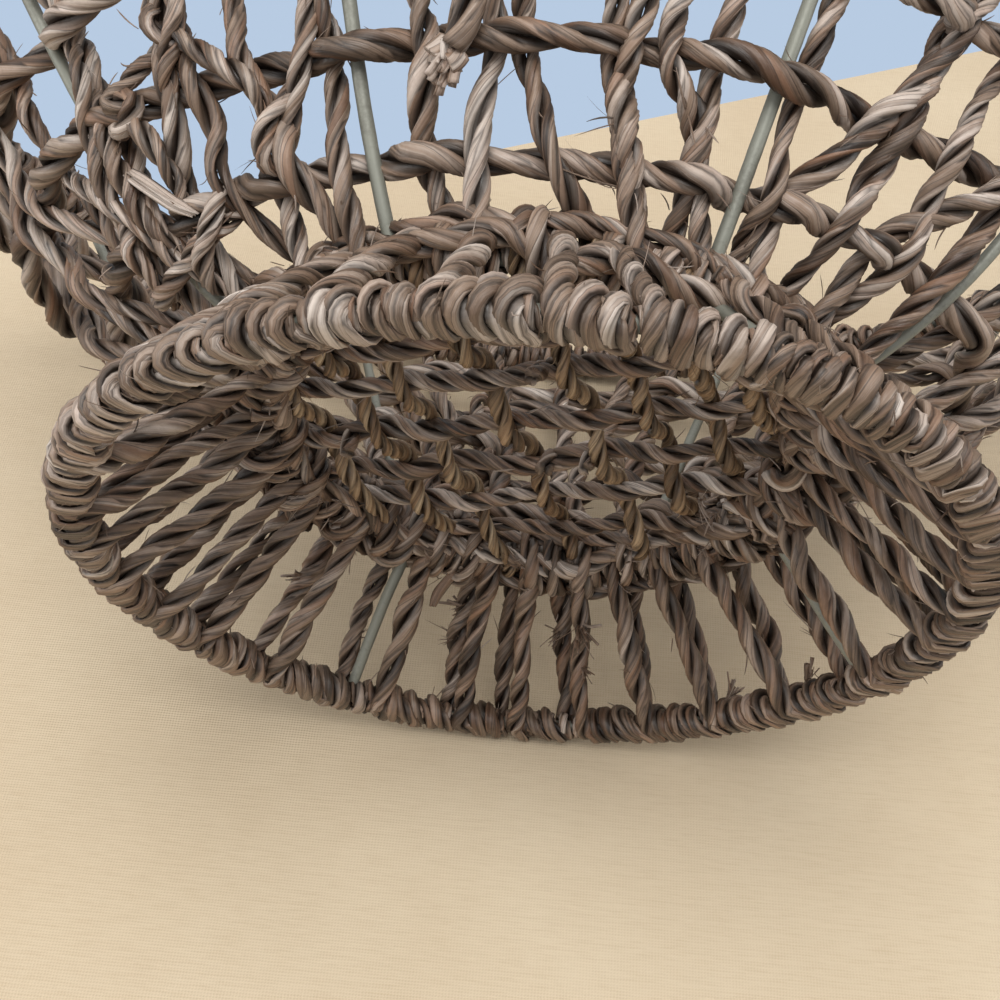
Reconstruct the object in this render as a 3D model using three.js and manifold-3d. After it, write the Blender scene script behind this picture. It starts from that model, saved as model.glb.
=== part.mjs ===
// Pedestal fruit basket: a wire frame of three rings, struts and ribs, laced with two-ply grass rope.
// The foot and waist rings are round. The bowl swells out from the waist to an oval rim, long along X.
// Millimetres, +Z up. The origin is on the ground, on the axis of the rings.
// Azimuths are in degrees from +X towards +Y. The first strut stands at FIRST_UPRIGHT.

import * as THREE from 'three';
import { mergeVertices } from 'three/addons/utils/BufferGeometryUtils.js';
import Module from 'manifold-3d';

const wasm = await Module();
wasm.setup();

// Driving dimensions: the frame, measured to the middle of each wire
const FOOT_RADIUS = 100;
const WAIST_RADIUS = 66.5;
const RIM_SIDE_RADIUS = 134.75;
const RIM_END_RADIUS = 182;
const WAIST_RISE = 36.6;
const RIM_RISE = 112.5;
const WIRE_DIAMETER = 3;

// The ends of the bowl swell early: their radius grows with this power of the height above the waist
const END_SWELL = 0.6;

// Driving dimensions: the rope
const FOOT_WRAP_DIAMETER = 9.5;
const WAIST_WRAP_DIAMETER = 10;
const RIM_WRAP_DIAMETER = 9.5;
const LEG_DIAMETER = 5;
const STAKE_DIAMETER = 4.6;
const ROW_DIAMETER = 6.3;
const WARP_DIAMETER = 4.8;
const WEFT_DIAMETER = 4.6;

// Driving dimensions: fits
const CLEARANCE = 0.3;
const SOLE_CUT = 0.5;

// Skirt lacing: rope legs run in pairs from the foot ring to the waist ring, one pair astride each strut
// and the others at these azimuths from the first strut of a quarter
const PAIRS = [15.5, 29, 40, 52, 63, 72];
const LEG_SPACING_FOOT = 6.4;
const LEG_SPACING_WAIST = 5.2;

// Bowl lacing: rows of rope lie round the stakes, evenly spaced between the waist and the rim
const ROW_COUNT = 5;

// A rib stands between each two uprights, at this azimuth from the first of them
const RIB_AZIMUTH = 36;

// Stakes and wires of the bowl bend at this share of its height, and at the rows
const KNEE_SHARE = 0.067;

// Stakes of one quarter: azimuths from its first upright, at these shares of the bowl's height
const STAKE_SHARES = [0, 1 / 6, 1 / 3, 2 / 3, 1];
const STAKES = [
  [4, 3.2, 2.8, 3.2, 3.5],
  [5, 6.2, 13.5, 20, 13],
  [15.5, 14.7, 15.9, 15, 20],
  [18.5, 22.2, 31, 32, 30],
  [26, 25, 22.3, 25.5, 25],
  [30.5, 31.8, 33, 31, 32.5],
  [44.2, 43.2, 45.3, 42, 43],
  [49, 51.5, 54, 50, 49],
  [72, 60.8, 56.8, 58, 60],
  [75, 72.2, 70.6, 73, 67],
  [79, 72.5, 68.3, 66, 71.5],
  [86, 83.5, 74.4, 79, 79.5],
  [82.5, 82.7, 81.4, 85, 86],
];

// Floor: warps lie across it and wefts lie along it, each turned a little about the axis, at these shares of
// the floor's radius from the axis
const WARP_TURN = -18;
const WEFT_TURN = -17;
const WARPS = [-0.83, -0.6, -0.39, -0.08, 0.24, 0.47, 0.7, 0.9];
const WEFTS = [-0.87, -0.64, -0.41, -0.09, 0.2, 0.47, 0.76, 0.93];

// Facets
const QUARTER_STEPS = 11;
const RING_STEPS = 4 * QUARTER_STEPS;
const WRAP_SIDES = 8;
const ROPE_SIDES = 6;
const STAKE_SIDES = 5;
const WIRE_SIDES = 5;

const QUARTERS = [1, 2, 3, 4];
const QUARTER_TURN = 90;
const FULL_TURN = 360;
const FIRST_UPRIGHT = 27;
const wireRadius = WIRE_DIAMETER / 2;
const wireReach = wireRadius + CLEARANCE;

// Heights
const footHeight = FOOT_WRAP_DIAMETER / 2 - SOLE_CUT;
const waistHeight = footHeight + WAIST_RISE;
const rimHeight = waistHeight + RIM_RISE;
const rowShares = Array.from({ length: ROW_COUNT }, (_, i) => (i + 1) / (ROW_COUNT + 1));
const wallShares = [KNEE_SHARE, ...rowShares];

// The bowl's wall: an ellipse at every height
function bowlHeight(share) {
  return waistHeight + RIM_RISE * share;
}

function bowlRadius(share, azimuth) {
  const angle = THREE.MathUtils.degToRad(azimuth);
  const side = WAIST_RADIUS + (RIM_SIDE_RADIUS - WAIST_RADIUS) * share;
  const end = WAIST_RADIUS + (RIM_END_RADIUS - WAIST_RADIUS) * share ** END_SWELL;
  return (side * end) / Math.hypot(side * Math.cos(angle), end * Math.sin(angle));
}

// The radius of a faceted ring: its joints lie on the given curve, with straights between them
function facetRadius(curveRadius, azimuth) {
  const step = FULL_TURN / RING_STEPS;
  const before = FIRST_UPRIGHT + step * Math.floor((azimuth - FIRST_UPRIGHT) / step);
  const [from, to] = [before, before + step].map((at) => flatPoint(curveRadius(at), at));
  const straight = to.sub(from);
  return from.cross(straight) / flatPoint(1, azimuth).cross(straight);
}

function flatPoint(radius, azimuth) {
  const angle = THREE.MathUtils.degToRad(azimuth);
  return new THREE.Vector2(radius * Math.cos(angle), radius * Math.sin(angle));
}

// The three rings. A wrap's bore is widened so that its flats clear the wire.
function ring(curveRadius, height, wrapDiameter) {
  const radiusAt = (azimuth) => facetRadius(curveRadius, azimuth);
  const wrapRadius = wrapDiameter / 2;
  const bore = wireReach / Math.cos(Math.PI / WIRE_SIDES);
  return { curveRadius, radiusAt, height, wrapRadius, bore, wallMiddle: (bore + wrapRadius) / 2 };
}

const foot = ring(() => FOOT_RADIUS, footHeight, FOOT_WRAP_DIAMETER);
const waist = ring(() => WAIST_RADIUS, waistHeight, WAIST_WRAP_DIAMETER);
const rim = ring((azimuth) => bowlRadius(1, azimuth), rimHeight, RIM_WRAP_DIAMETER);
const waistReach = waist.wrapRadius + CLEARANCE;

// Materials
const rope = new THREE.MeshStandardMaterial({ color: 0x735f50, roughness: 0.85, metalness: 0 });
const tanRope = new THREE.MeshStandardMaterial({ color: 0x967850, roughness: 0.85, metalness: 0 });
const wire = new THREE.MeshStandardMaterial({ color: 0x737e76, roughness: 0.45, metalness: 0.3 });

const basket = new THREE.Group();

function addMesh(name, geometry, material) {
  const mesh = new THREE.Mesh(geometry, material);
  mesh.name = name;
  basket.add(mesh);
}

// Places on the frame
function onCircle(radius, height, azimuth) {
  const flat = flatPoint(radius, azimuth);
  return new THREE.Vector3(flat.x, flat.y, height);
}

function onRing(of, azimuth) {
  return onCircle(of.radiusAt(azimuth), of.height, azimuth);
}

function onBowl(share, azimuth) {
  return onCircle(bowlRadius(share, azimuth), bowlHeight(share), azimuth);
}

function degreesAcross(distance, radius) {
  return THREE.MathUtils.radToDeg(distance / radius);
}

function quarterStart(quarter) {
  return FIRST_UPRIGHT + QUARTER_TURN * (quarter - 1);
}

// The middle of the flat end of a rod that leaves a ring for a point, with the end wholly beyond reach
function rodEnd(of, azimuth, towards, diameter, reach) {
  const from = onRing(of, azimuth);
  const along = towards.clone().sub(from).normalize();
  const lean = Math.abs(along.dot(onCircle(1, 0, azimuth + QUARTER_TURN)));
  const distance = (reach + (diameter / 2) * lean) / Math.sqrt(1 - lean * lean);
  return from.addScaledVector(along, distance);
}

// A straight rod from one ring to another, as a line between the middles of its ends
function between(lower, upper, lowerAzimuth, upperAzimuth, diameter, lowerReach, upperReach) {
  const start = rodEnd(lower, lowerAzimuth, onRing(upper, upperAzimuth), diameter, lowerReach);
  const end = rodEnd(upper, upperAzimuth, onRing(lower, lowerAzimuth), diameter, upperReach);
  return new THREE.LineCurve3(start, end);
}

// Curves that are sampled evenly in their own measure, so that a rod's joints fall on the given points
class Polyline extends THREE.Curve {
  constructor(points) {
    super();
    this.points = points;
  }

  getUtoTmapping(u) {
    return u;
  }

  getPoint(t, target = new THREE.Vector3()) {
    const last = this.points.length - 2;
    const along = t * (last + 1);
    const index = Math.min(Math.floor(along), last);
    return target.lerpVectors(this.points[index], this.points[index + 1], along - index);
  }
}

class RingArc extends THREE.Curve {
  constructor(of, start, end) {
    super();
    this.of = of;
    this.start = start;
    this.end = end;
  }

  getUtoTmapping(u) {
    return u;
  }

  getPoint(t, target = new THREE.Vector3()) {
    const azimuth = THREE.MathUtils.lerp(this.start, this.end, t);
    return target.copy(onCircle(this.of.curveRadius(azimuth), this.of.height, azimuth));
  }
}

// Shapes
function polygon(radius, sides) {
  return Array.from({ length: sides }, (_, i) => {
    const angle = (2 * Math.PI * i) / sides;
    return new THREE.Vector2(radius * Math.cos(angle), radius * Math.sin(angle));
  });
}

function closedTube(path, diameter, sides) {
  return new THREE.TubeGeometry(path, RING_STEPS, diameter / 2, sides, true);
}

function rod(path, diameter, sides, steps = 1) {
  const section = new THREE.Shape(polygon(diameter / 2, sides));
  return new THREE.ExtrudeGeometry(section, { steps, extrudePath: path });
}

function bentRod(points, diameter, sides) {
  return rod(new Polyline(points), diameter, sides, points.length - 1);
}

// A wrap round one quarter of a ring, open at both ends and clear of the next quarter's wrap
function wrapSleeve(of, quarter) {
  const section = new THREE.Shape(polygon(of.wrapRadius, WRAP_SIDES));
  section.holes.push(new THREE.Path(polygon(of.bore, WIRE_SIDES)));
  const start = quarterStart(quarter);
  const margin = degreesAcross(CLEARANCE / 2, of.radiusAt(start) - 2 * of.wrapRadius);
  const path = new RingArc(of, start + margin, start + QUARTER_TURN - margin);
  return new THREE.ExtrudeGeometry(section, { steps: QUARTER_STEPS, extrudePath: path });
}

// Joining and cutting
function solid(geometry) {
  const bare = geometry.clone();
  bare.deleteAttribute('normal');
  bare.deleteAttribute('uv');
  const merged = mergeVertices(bare);
  const vertProperties = new Float32Array(merged.attributes.position.array);
  const triVerts = new Uint32Array(merged.index.array);
  return new wasm.Manifold(new wasm.Mesh({ numProp: 3, vertProperties, triVerts }));
}

function geometryOf(body) {
  const mesh = body.getMesh();
  const geometry = new THREE.BufferGeometry();
  geometry.setAttribute('position', new THREE.BufferAttribute(mesh.vertProperties, 3));
  geometry.setIndex(new THREE.BufferAttribute(mesh.triVerts, 1));
  geometry.computeVertexNormals();
  return geometry;
}

function join(geometries) {
  return geometries.map(solid).reduce((whole, piece) => whole.add(piece));
}

// Frame wires
function wireRing(of) {
  const path = new RingArc(of, FIRST_UPRIGHT, FIRST_UPRIGHT + FULL_TURN);
  return closedTube(path, WIRE_DIAMETER, WIRE_SIDES);
}

function strut(azimuth) {
  const path = between(foot, waist, azimuth, azimuth, WIRE_DIAMETER, wireReach, wireReach);
  return rod(path, WIRE_DIAMETER, WIRE_SIDES);
}

// An upright starts where it clears the top of the strut that it carries on
function uprightReach(azimuth) {
  const joint = onRing(waist, azimuth);
  const down = onRing(foot, azimuth).sub(joint);
  const up = onBowl(KNEE_SHARE, azimuth).sub(joint);
  return Math.max(wireReach, (wireRadius + CLEARANCE / 2) / Math.tan(up.angleTo(down) / 2));
}

function bowlWire(azimuth, lowerReach) {
  const wallPoints = wallShares.map((share) => onBowl(share, azimuth));
  const start = rodEnd(waist, azimuth, wallPoints[0], WIRE_DIAMETER, lowerReach);
  const end = rodEnd(rim, azimuth, wallPoints.at(-1), WIRE_DIAMETER, wireReach);
  return bentRod([start, ...wallPoints, end], WIRE_DIAMETER, WIRE_SIDES);
}

// The room that a wire needs where it passes through a wrap
const roomDiameter = (2 * wireReach) / Math.cos(Math.PI / WIRE_SIDES);

function skirtWireRoom(quarter) {
  const start = quarterStart(quarter);
  const rooms = [start, start + QUARTER_TURN].map((azimuth) => {
    return rod(new THREE.LineCurve3(onRing(foot, azimuth), onRing(waist, azimuth)), roomDiameter, WIRE_SIDES);
  });
  return join(rooms);
}

function bowlWireRoom(quarter) {
  const start = quarterStart(quarter);
  const rooms = [start, start + RIB_AZIMUTH, start + QUARTER_TURN].map((azimuth) => {
    const wallPoints = wallShares.map((share) => onBowl(share, azimuth));
    return bentRod([onRing(waist, azimuth), ...wallPoints, onRing(rim, azimuth)], roomDiameter, WIRE_SIDES);
  });
  return join(rooms);
}

function addFrame() {
  for (const [name, of] of [['foot', foot], ['waist', waist], ['rim', rim]]) {
    addMesh(`${name}_ring_wire`, wireRing(of), wire);
  }
  for (const quarter of QUARTERS) {
    const start = quarterStart(quarter);
    addMesh(`skirt_strut_${quarter}`, strut(start), wire);
    addMesh(`bowl_upright_${quarter}`, bowlWire(start, uprightReach(start)), wire);
    addMesh(`bowl_rib_${quarter}`, bowlWire(start + RIB_AZIMUTH, wireReach), wire);
  }
}

// Skirt: one quarter is a wrap on the foot ring, with its pairs of legs up to the waist
function leg(azimuth, side, astride) {
  const least = astride ? (LEG_DIAMETER + WIRE_DIAMETER) / 2 + CLEARANCE : 0;
  const footShift = Math.max(LEG_SPACING_FOOT / 2, least);
  const waistShift = Math.max(LEG_SPACING_WAIST / 2, least);
  const bottom = azimuth + side * degreesAcross(footShift, FOOT_RADIUS);
  const top = azimuth + side * degreesAcross(waistShift, WAIST_RADIUS);
  const path = between(foot, waist, bottom, top, LEG_DIAMETER, foot.wallMiddle, waistReach);
  return rod(path, LEG_DIAMETER, ROPE_SIDES);
}

function skirtLacing(quarter) {
  const start = quarterStart(quarter);
  const pieces = [wrapSleeve(foot, quarter)];
  pieces.push(leg(start, 1, true));
  for (const azimuth of PAIRS) {
    pieces.push(leg(start + azimuth, -1, false));
    pieces.push(leg(start + azimuth, 1, false));
  }
  pieces.push(leg(start + QUARTER_TURN, -1, true));
  const ground = new THREE.BoxGeometry(4 * FOOT_RADIUS, 4 * FOOT_RADIUS, FOOT_WRAP_DIAMETER);
  ground.translate(0, 0, -FOOT_WRAP_DIAMETER / 2);
  return geometryOf(join(pieces).subtract(skirtWireRoom(quarter)).subtract(solid(ground)));
}

function waistBinding(quarter) {
  const sleeve = solid(wrapSleeve(waist, quarter));
  return geometryOf(sleeve.subtract(skirtWireRoom(quarter)).subtract(bowlWireRoom(quarter)));
}

// Bowl: one quarter is a wrap on the rim ring, with its stakes down to the waist
function clearOf(angle, wireAngle, side, radius) {
  const least = degreesAcross((STAKE_DIAMETER + WIRE_DIAMETER) / 2 + 2 * CLEARANCE, radius);
  return side * Math.max(side * (angle - wireAngle), least) + wireAngle;
}

// The azimuth of a stake at a share of the bowl's height, from its azimuths at STAKE_SHARES
function stakeAngle(angles, share) {
  const upper = Math.max(1, STAKE_SHARES.findIndex((value) => value >= share));
  const part = (share - STAKE_SHARES[upper - 1]) / (STAKE_SHARES[upper] - STAKE_SHARES[upper - 1]);
  return THREE.MathUtils.lerp(angles[upper - 1], angles[upper], part);
}

function stakeAzimuth(quarter, angles, share) {
  const start = quarterStart(quarter);
  const ribSide = Math.sign(angles[0] - RIB_AZIMUTH);
  let angle = stakeAngle(angles, share);
  const radius = bowlRadius(share, start + angle);
  angle = clearOf(angle, RIB_AZIMUTH, ribSide, radius);
  angle = clearOf(angle, 0, 1, radius);
  angle = clearOf(angle, QUARTER_TURN, -1, radius);
  return start + angle;
}

function stake(quarter, angles) {
  const wallPoints = wallShares.map((share) => onBowl(share, stakeAzimuth(quarter, angles, share)));
  const lower = stakeAzimuth(quarter, angles, 0);
  const upper = stakeAzimuth(quarter, angles, 1);
  const start = rodEnd(waist, lower, wallPoints[0], STAKE_DIAMETER, waistReach);
  const end = rodEnd(rim, upper, wallPoints.at(-1), STAKE_DIAMETER, rim.wallMiddle);
  return bentRod([start, ...wallPoints, end], STAKE_DIAMETER, STAKE_SIDES);
}

function bowlLacing(quarter) {
  const stakes = STAKES.map((angles) => stake(quarter, angles));
  const whole = join([wrapSleeve(rim, quarter), ...stakes]);
  return geometryOf(whole.subtract(bowlWireRoom(quarter)));
}

// A row lies against the outside of the stakes, which lean outwards from it to the next row
function rowRadius(share, azimuth) {
  const radius = bowlRadius(share, azimuth);
  const rise = RIM_RISE / (ROW_COUNT + 1);
  const lean = (bowlRadius(share + 1 / (ROW_COUNT + 1), azimuth) - radius) / rise;
  const degree = THREE.MathUtils.degToRad(1);
  const skew = (bowlRadius(share, azimuth + 1) - radius) / (radius * degree);
  return radius + ((STAKE_DIAMETER + ROW_DIAMETER) / 2 + CLEARANCE) * Math.hypot(1, lean, skew);
}

// The joints of a row are moved out, so that the straights between them stay clear of the stakes
class RowLine extends THREE.Curve {
  constructor(share) {
    super();
    this.share = share;
  }

  getUtoTmapping(u) {
    return u;
  }

  onRow(azimuth) {
    return onCircle(rowRadius(this.share, azimuth), bowlHeight(this.share), azimuth);
  }

  getPoint(t, target = new THREE.Vector3()) {
    const azimuth = FIRST_UPRIGHT + FULL_TURN * t;
    const half = FULL_TURN / RING_STEPS / 2;
    const chordMiddle = this.onRow(azimuth - half).lerp(this.onRow(azimuth + half), 0.5);
    return target.copy(this.onRow(azimuth)).multiplyScalar(2).sub(chordMiddle);
  }
}

function addLacing() {
  for (const quarter of QUARTERS) {
    addMesh(`skirt_lacing_${quarter}`, skirtLacing(quarter), rope);
    addMesh(`waist_binding_${quarter}`, waistBinding(quarter), rope);
    addMesh(`bowl_lacing_${quarter}`, bowlLacing(quarter), rope);
  }
  rowShares.forEach((share, i) => {
    addMesh(`weaver_row_${i + 1}`, closedTube(new RowLine(share), ROW_DIAMETER, ROPE_SIDES), rope);
  });
}

// Floor: warps under wefts, both trimmed to the inside of the waist wrap
const floorRadius = WAIST_RADIUS - WAIST_WRAP_DIAMETER / 2 - CLEARANCE;

function trimmedRope(from, to, diameter, turn) {
  const disc = new THREE.CylinderGeometry(floorRadius, floorRadius, 4 * diameter, RING_STEPS);
  disc.rotateX(Math.PI / 2).translate(0, 0, from.z);
  const body = solid(rod(new THREE.LineCurve3(from, to), diameter, ROPE_SIDES));
  return geometryOf(body.intersect(solid(disc))).rotateZ(THREE.MathUtils.degToRad(turn));
}

function addFloor() {
  const warpHeight = waistHeight - (WARP_DIAMETER + CLEARANCE) / 2;
  const weftHeight = waistHeight + (WEFT_DIAMETER + CLEARANCE) / 2;
  WARPS.forEach((share, i) => {
    const x = share * floorRadius;
    const from = new THREE.Vector3(x, -WAIST_RADIUS, warpHeight);
    const to = new THREE.Vector3(x, WAIST_RADIUS, warpHeight);
    addMesh(`floor_warp_${i + 1}`, trimmedRope(from, to, WARP_DIAMETER, WARP_TURN), tanRope);
  });
  WEFTS.forEach((share, i) => {
    const y = share * floorRadius;
    const from = new THREE.Vector3(-WAIST_RADIUS, y, weftHeight);
    const to = new THREE.Vector3(WAIST_RADIUS, y, weftHeight);
    addMesh(`floor_weft_${i + 1}`, trimmedRope(from, to, WEFT_DIAMETER, WEFT_TURN), rope);
  });
}

addFrame();
addLacing();
addFloor();

export default basket;
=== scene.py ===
"""Looks of the pedestal fruit basket: two-ply grass rope laced on a painted wire frame.

Lengths are in millimetres until a mesh is made, and azimuths in degrees from +X towards +Y.
"""

import math

import bpy
import numpy as np
from mathutils import Matrix, Vector


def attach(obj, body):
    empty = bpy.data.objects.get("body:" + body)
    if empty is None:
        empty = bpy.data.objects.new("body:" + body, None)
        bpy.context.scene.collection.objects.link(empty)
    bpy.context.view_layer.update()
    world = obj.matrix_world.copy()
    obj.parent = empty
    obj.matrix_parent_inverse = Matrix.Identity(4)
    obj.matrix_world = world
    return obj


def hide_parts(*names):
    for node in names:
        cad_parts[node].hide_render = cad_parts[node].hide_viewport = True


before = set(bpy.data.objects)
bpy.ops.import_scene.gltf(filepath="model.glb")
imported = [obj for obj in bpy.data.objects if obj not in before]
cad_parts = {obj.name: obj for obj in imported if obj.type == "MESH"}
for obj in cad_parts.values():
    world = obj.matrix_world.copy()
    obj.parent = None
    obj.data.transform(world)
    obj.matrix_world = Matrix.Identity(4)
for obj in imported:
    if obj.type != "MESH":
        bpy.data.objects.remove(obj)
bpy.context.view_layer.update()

MM = 0.001
UP = np.array([0.0, 0.0, 1.0])

# The frame. The foot and waist rings are round: their radius and height at the middle of the wire.
FOOT = (100.0, 4.25)
WAIST = (66.5, 40.85)
RIM_RISE = 112.5
RIM_HEIGHT = WAIST[1] + RIM_RISE
RIM_SIDE_RADIUS = 134.75
RIM_END_RADIUS = 182.0
RIM = (RIM_SIDE_RADIUS, RIM_HEIGHT)
END_SWELL = 0.6
SKIRT_SLOPE = (FOOT[0] - WAIST[0]) / (WAIST[1] - FOOT[1])
SKIRT_LEAN = math.degrees(math.atan(SKIRT_SLOPE))
WIRE_RADIUS = 1.5
WIRE_SIDES = 18
WIRE_POINTS = 60
WELD_FLARE = 0.35

QUARTERS = (1, 2, 3, 4)
FIRST_UPRIGHT = 27.0
RIB_AZIMUTH = 36.0

# Pairs of skirt legs: degrees from a quarter's first strut. The first and last pair straddle struts.
PAIRS = (0, 15.5, 29, 40, 52, 63, 72, 90)
LAST_PAIR = len(PAIRS) - 1
# Half the gap between the legs of the pairs between struts, at the foot and the waist. Below zero they cross.
HALF_GAPS = {
    1: ((1.9, -2), (1.9, -0.8), (1.2, -1.4), (3, 3.2), (1.9, 1.9), (1.8, 1.8)),
    2: ((2.2, -0.5), (1.3, -3), (1, 0), (1.5, 0), (2, 1), (2, 1.5)),
    3: ((2, 1.5),) * 6,
    4: ((2.4, 1.5),) * 6,
}

# The same for the two legs astride struts: the first of the quarter, and its last.
STRUT_GAPS = {
    1: ((8, 9), (8.5, 3.6)),
    2: ((2.4, 3.8), (8.5, 4.6)),
    3: ((4.3, 4.6), (8.5, 4.6)),
    4: ((0.8, 0.8), (6, 12)),
}

# Rows of rope round the bowl, and a mark for each stake they pass: o where the row is outside it.
ROW_HEIGHTS = (57.6, 76.6, 96, 115.6, 134.4)
ROW_PASSES = ("ioioiioiiiioo", "oiiiioiooioio", "oioioioioioio", "ioioioioioioi", "oiooioiooioio")
# The same for the wires: the upright first, then the rib.
WIRE_PASSES = ("ii", "oo", "io", "oi", "io")
HALF_ROW_GAP = 9.5
# How far out from the wall a stake lies where it meets a row, and a row where it meets a stake or a wire.
STAKE_SHIFTS = {"o": -1.4, "i": 3.4}
ROW_SHIFTS = {"o": 4.2, "i": -2.0}
WIRE_SHIFTS = {"o": 4.8, "i": -4.6}

# Stakes of a quarter: degrees from its first upright, at these shares of the bowl's height.
STAKE_SHARES = (0, 1 / 6, 1 / 3, 2 / 3, 1)
STAKES = (
    (4, 3.2, 2.8, 3.2, 3.5),
    (5, 6.2, 13.5, 20, 13),
    (15.5, 14.7, 15.9, 15, 20),
    (18.5, 22.2, 31, 32, 30),
    (26, 25, 22.3, 25.5, 25),
    (30.5, 31.8, 33, 31, 32.5),
    (44.2, 43.2, 45.3, 42, 43),
    (49, 51.5, 54, 50, 49),
    (72, 60.8, 56.8, 58, 60),
    (75, 72.2, 70.6, 73, 67),
    (79, 72.5, 68.3, 66, 71.5),
    (86, 83.5, 74.4, 79, 79.5),
    (82.5, 82.7, 81.4, 85, 86),
)

# Floor ropes: their turn about the axis, and their places as shares of the floor's radius. They weave where
# they cross farther than a margin from the waist ring.
FLOOR_RADIUS = 61.2
FLOOR_HEIGHT = WAIST[1] + 0.3
CROSSING_MARGIN = 9.0
WARP_TURN = -18.0
WEFT_TURN = 73.0
WARPS = (-0.83, -0.6, -0.39, -0.08, 0.24, 0.47, 0.7, 0.9)
WEFTS = (-0.87, -0.64, -0.41, -0.09, 0.2, 0.47, 0.76, 0.93)
WARP_LIFT = 3.4
WEFT_LIFT = 1.2

# Rope. A reach is how far a rope's middle lies from the middle of the wire that it is wound on. Press is the
# share of its thickness that is left towards that wire.
LEG_THICKNESS = 6.1
STAKE_THICKNESS = 5.9
ROW_THICKNESS = 7.2
WARP_THICKNESS = 5.0
WEFT_THICKNESS = 5.2
WRAP_THICKNESS = 5.5
WRAP_PRESS = 0.96
WRAP_REACH = 3.4
WRAP_PITCH = 4.9
WRAP_LEAN = 1.1
LEG_REACH = WRAP_REACH + 0.4
LOOP_THICKNESS = 5.2
LOOP_PRESS = 0.85
LOOP_REACH = 5.4
# Wraps along a ring: pitch, reach, thickness and press.
FOOT_UNDERWRAP = (3.8, 2.7, 3.8, 0.7)
WAIST_WRAP = (4.4, 3.2, 4.6, 0.7)
RIM_WRAP = (4.6, WRAP_REACH, WRAP_THICKNESS, WRAP_PRESS)
# Ropes that run along the waist ring, outside its wraps: angle round the ring, and reach.
BORDERS = ((205, 7.4), (35, 7.6), (-20, 8.8))
BORDER_THICKNESS = 6.2
# Knots of a quarter of the waist: their number, thickness, least and greatest reach, turn and drift.
KNOTS = 9
KNOT_THICKNESS = 5.4
KNOT_REACHES = (7.6, 9.2)
KNOT_TURN = 330
KNOT_DRIFT = 9
# Ends of ropes, hooked round a ring: degrees that they turn, degrees between their points, and degrees off
# level where a floor rope meets the waist.
WAIST_HOOK_TURN = 250
RIM_HOOK_TURN = 220
HOOK_STEP = 28
MEET_ANGLE = 40
STAKE_HOOK_REACH = LOOP_REACH + 0.9
FLOOR_HOOK_REACH = LOOP_REACH - 0.4
RIM_HOOK_REACH = 5.0
RIM_HOOK_THICKNESS = 4.8
# The height over which the wall's lean is taken at the ends of a stake.
LEAN_SPAN = 12

# Meshes: the points of a turn, a rope's step along its path, and the points and ribbons round a ply.
TURN_POINTS = 12
STEP = 1.25
COLUMNS = 16
RIBBONS = 4
STRAND_SIDES = 6
# Millimetres in a unit of the map along a rope, and the spread of the places where ropes start on it.
MAP_UNIT = 10
MAP_SPREAD = 900

# Half a ply's size and its distance from the rope's middle, as shares of the rope's thickness.
PLY_DEPTH = 0.225
PLY_WIDTH = 0.31
PLY_OFFSET = 0.22

# Loose fibres: their mean length, the share of places without one, and the least height they keep.
FIBRE_REACH = 5.0
FIBRE_SKIP = 0.4
FIBRE_FLOOR = 0.2

# Scale of the waves that make the cloth's threads, 0.8 mm apart.
THREAD_SCALE = 390.0


def polar(radius, azimuth, height):
    """A place on a circle about the axis."""
    angle = math.radians(azimuth)
    return np.array([radius * math.cos(angle), radius * math.sin(angle), height])


def bowl_radius(height, azimuth):
    """Radius of the bowl's wall, at the middle of its stakes: an ellipse at every height."""
    share = max(0.0, (height - WAIST[1]) / RIM_RISE)
    angle = math.radians(azimuth)
    side = WAIST[0] + (RIM_SIDE_RADIUS - WAIST[0]) * share
    end = WAIST[0] + (RIM_END_RADIUS - WAIST[0]) * share**END_SWELL
    return side * end / math.hypot(side * math.cos(angle), end * math.sin(angle))


def wall_place(height, azimuth, shift=0.0):
    """A place on the bowl's wall, moved out from it by a distance."""
    radius = bowl_radius(height, azimuth)
    slope = (bowl_radius(height + 1, azimuth) - bowl_radius(height - 1, azimuth)) / 2
    skew = (bowl_radius(height, azimuth + 1) - bowl_radius(height, azimuth - 1)) / 2 / math.radians(radius)
    around = polar(1, azimuth + 90, 0)
    normal = polar(1, azimuth, 0) - skew * around - slope * UP
    return polar(radius, azimuth, height) + shift * normal / np.linalg.norm(normal)


def on_skirt(azimuth, height, shift):
    """A place on the inside of the skirt, moved in from it by a distance."""
    return polar(FOOT[0] - (height - FOOT[1]) * SKIRT_SLOPE - shift, azimuth, height)


def wall_lean(low, high, azimuth):
    """The wall's lean from upright between two heights, in degrees."""
    return math.degrees(math.atan2(bowl_radius(high, azimuth) - bowl_radius(low, azimuth), high - low))


def quarter_start(quarter):
    """Azimuth of a quarter's first upright."""
    return FIRST_UPRIGHT + 90 * (quarter - 1)


def stake_azimuth(quarter, index, height):
    """Azimuth of a stake at a height on the wall."""
    share = (height - WAIST[1]) / RIM_RISE
    return quarter_start(quarter) + float(np.interp(share, STAKE_SHARES, STAKES[index]))


def nearest_stake(azimuth, height):
    """Azimuth of the stake that is nearest to a place on the wall."""
    places = [stake_azimuth(q, index, height) for q in QUARTERS for index in range(len(STAKES))]
    return min(places, key=lambda place: abs((place - azimuth + 180) % 360 - 180))


def station(place, thickness):
    """A free point of a rope's path: place, pressing direction, pressing factor, thickness."""
    return np.array([[*place, 0.0, 0.0, 0.0, 1.0, thickness]])


def ring_radius(ring, azimuth):
    """Radius of a ring at an azimuth. The rim is the only one that isn't round."""
    return bowl_radius(RIM_HEIGHT, azimuth) if ring is RIM else ring[0]


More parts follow.
